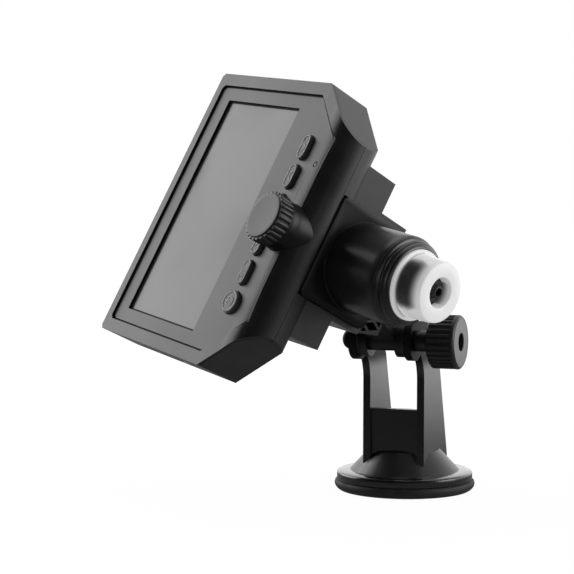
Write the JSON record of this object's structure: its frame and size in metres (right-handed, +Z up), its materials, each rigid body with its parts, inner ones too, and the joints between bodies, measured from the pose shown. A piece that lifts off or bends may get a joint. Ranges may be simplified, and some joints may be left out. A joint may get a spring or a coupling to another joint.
{
  "type": "digital microscope",
  "caption": "Handheld digital microscope: flat display unit with a button row, focus knob and side barrel ending in a clear contact cap, tilting on a clamped suction-cup stand.",
  "frame": {"origin": "bottom centre of the suction cup, on the surface it grips", "axes": "+Z up, +X along the tilt axis towards the clamp knob, -Y towards the side that the arms lean to"},
  "size_m": [0.162, 0.1228, 0.1737],
  "materials": {
    "housing": "fine satin texture",
    "window": "smooth, faintly grey",
    "key": "satin",
    "knob": "satin, ribbed edge",
    "barrel": "semi-gloss",
    "ring": "semi-gloss",
    "clear": "clear, polished",
    "stand": "fine satin texture",
    "disc": "glossy black",
    "rubber": "matte",
    "lever": "semi-gloss",
    "steel": "turned",
    "brass": "turned",
    "board": "solder mask",
    "chip": "moulded",
    "switch": "moulded",
    "flex": "polyimide film",
    "panel": "display module",
    "cell": "sleeved",
    "led": "diffusing",
    "lens": "polished",
    "carriage": "moulded",
    "washer": "fibre"
  },
  "bodies": {
    "stand": {"suction_cup": "rubber", "base_disc": "disc", "base_screws": "steel", "stand_yoke": "stand", "lever_pin": "steel", "clamp_bolt": "steel", "dome_nut": "steel", "friction_washers": "washer"},
    "clamp": {"clamp_knob": "knob", "knob_insert": "brass"},
    "lever": {"cam_lever": "lever"},
    "stem": {"cup_stem": "steel"},
    "focus": {"focus_knob": "knob", "focus_shaft": "steel", "focus_pinion": "brass"},
    "carriage": {"lens_carriage": "carriage", "lens_tube": "carriage", "lens_glass": "lens"},
    "cover": {"battery_cover": "housing"},
    "power_key": {"power_button": "key"},
    "menu_key": {"menu_button": "key"},
    "down_key": {"down_button": "key"},
    "mode_key": {"mode_button": "key"},
    "up_key": {"up_button": "key"},
    "ok_key": {"ok_button": "key"},
    "display": {"front_bezel": "housing", "rear_shell": "housing", "battery_cell": "cell", "battery_contacts": "steel", "lcd_window": "window", "lcd_panel": "panel", "lcd_flex": "flex", "main_board": "board", "board_chips": "chip", "key_board": "board", "key_switches": "switch", "status_led": "led", "shaft_bush": "brass", "barrel_housing": "barrel", "end_ring": "ring", "sensor_board": "board", "image_sensor": "chip", "led_board": "switch", "light_leds": "led", "clear_cap": "clear", "usb_socket": "steel", "card_socket": "steel", "case_screws": "steel", "seat_screws": "steel", "mount_head": "stand", "head_screws": "steel"}
  },
  "joints": [
    {"name": "display_tilt", "type": "hinge", "parent": "stand", "child": "display", "pos_m": [0, -0.0242, 0.0635], "axis": [1, 0, 0], "range_deg": [-45, 40]},
    {"name": "clamp_turn", "type": "hinge", "parent": "stand", "child": "clamp", "pos_m": [0.027, -0.0242, 0.0635], "axis": [1, 0, 0], "range_deg": [0, 270]},
    {"name": "focus_turn", "type": "hinge", "parent": "display", "child": "focus", "pos_m": [-0.02594, -0.08133, 0.11235], "axis": [-0.454, -0.776, 0.4379], "range_deg": [-42, 42]},
    {"name": "focus_slide", "type": "slide", "parent": "display", "child": "carriage", "axis": [0.8974, -0.3927, -0.2012], "range_m": [-0.00295, 0.00295]},
    {"name": "cover_slide", "type": "slide", "parent": "display", "child": "cover", "axis": [0.3342, 0.3073, 0.891], "range_m": [0, 0.045]},
    {"name": "lever_swing", "type": "hinge", "parent": "stand", "child": "lever", "pos_m": [0, 0, 0.024], "axis": [1, 0, 0], "range_deg": [0, 60]},
    {"name": "stem_lift", "type": "slide", "parent": "stand", "child": "stem", "axis": [0, 0, 1], "range_m": [-0.0007, 0]},
    {"name": "power_press", "type": "slide", "parent": "display", "child": "power_key", "axis": [0.454, 0.776, -0.4379], "range_m": [0, 0.0006], "stiffness_N_per_m": 600},
    {"name": "menu_press", "type": "slide", "parent": "display", "child": "menu_key", "axis": [0.454, 0.776, -0.4379], "range_m": [0, 0.0006], "stiffness_N_per_m": 600},
    {"name": "down_press", "type": "slide", "parent": "display", "child": "down_key", "axis": [0.454, 0.776, -0.4379], "range_m": [0, 0.0006], "stiffness_N_per_m": 600},
    {"name": "mode_press", "type": "slide", "parent": "display", "child": "mode_key", "axis": [0.454, 0.776, -0.4379], "range_m": [0, 0.0006], "stiffness_N_per_m": 600},
    {"name": "up_press", "type": "slide", "parent": "display", "child": "up_key", "axis": [0.454, 0.776, -0.4379], "range_m": [0, 0.0006], "stiffness_N_per_m": 600},
    {"name": "ok_press", "type": "slide", "parent": "display", "child": "ok_key", "axis": [0.454, 0.776, -0.4379], "range_m": [0, 0.0006], "stiffness_N_per_m": 600}
  ],
  "couplings": [
    {"joint": "focus_turn", "follows": "focus_slide", "rad_per_m": -245.41},
    {"joint": "lever_swing", "follows": "stem_lift", "rad_per_m": -1495.9}
  ]
}
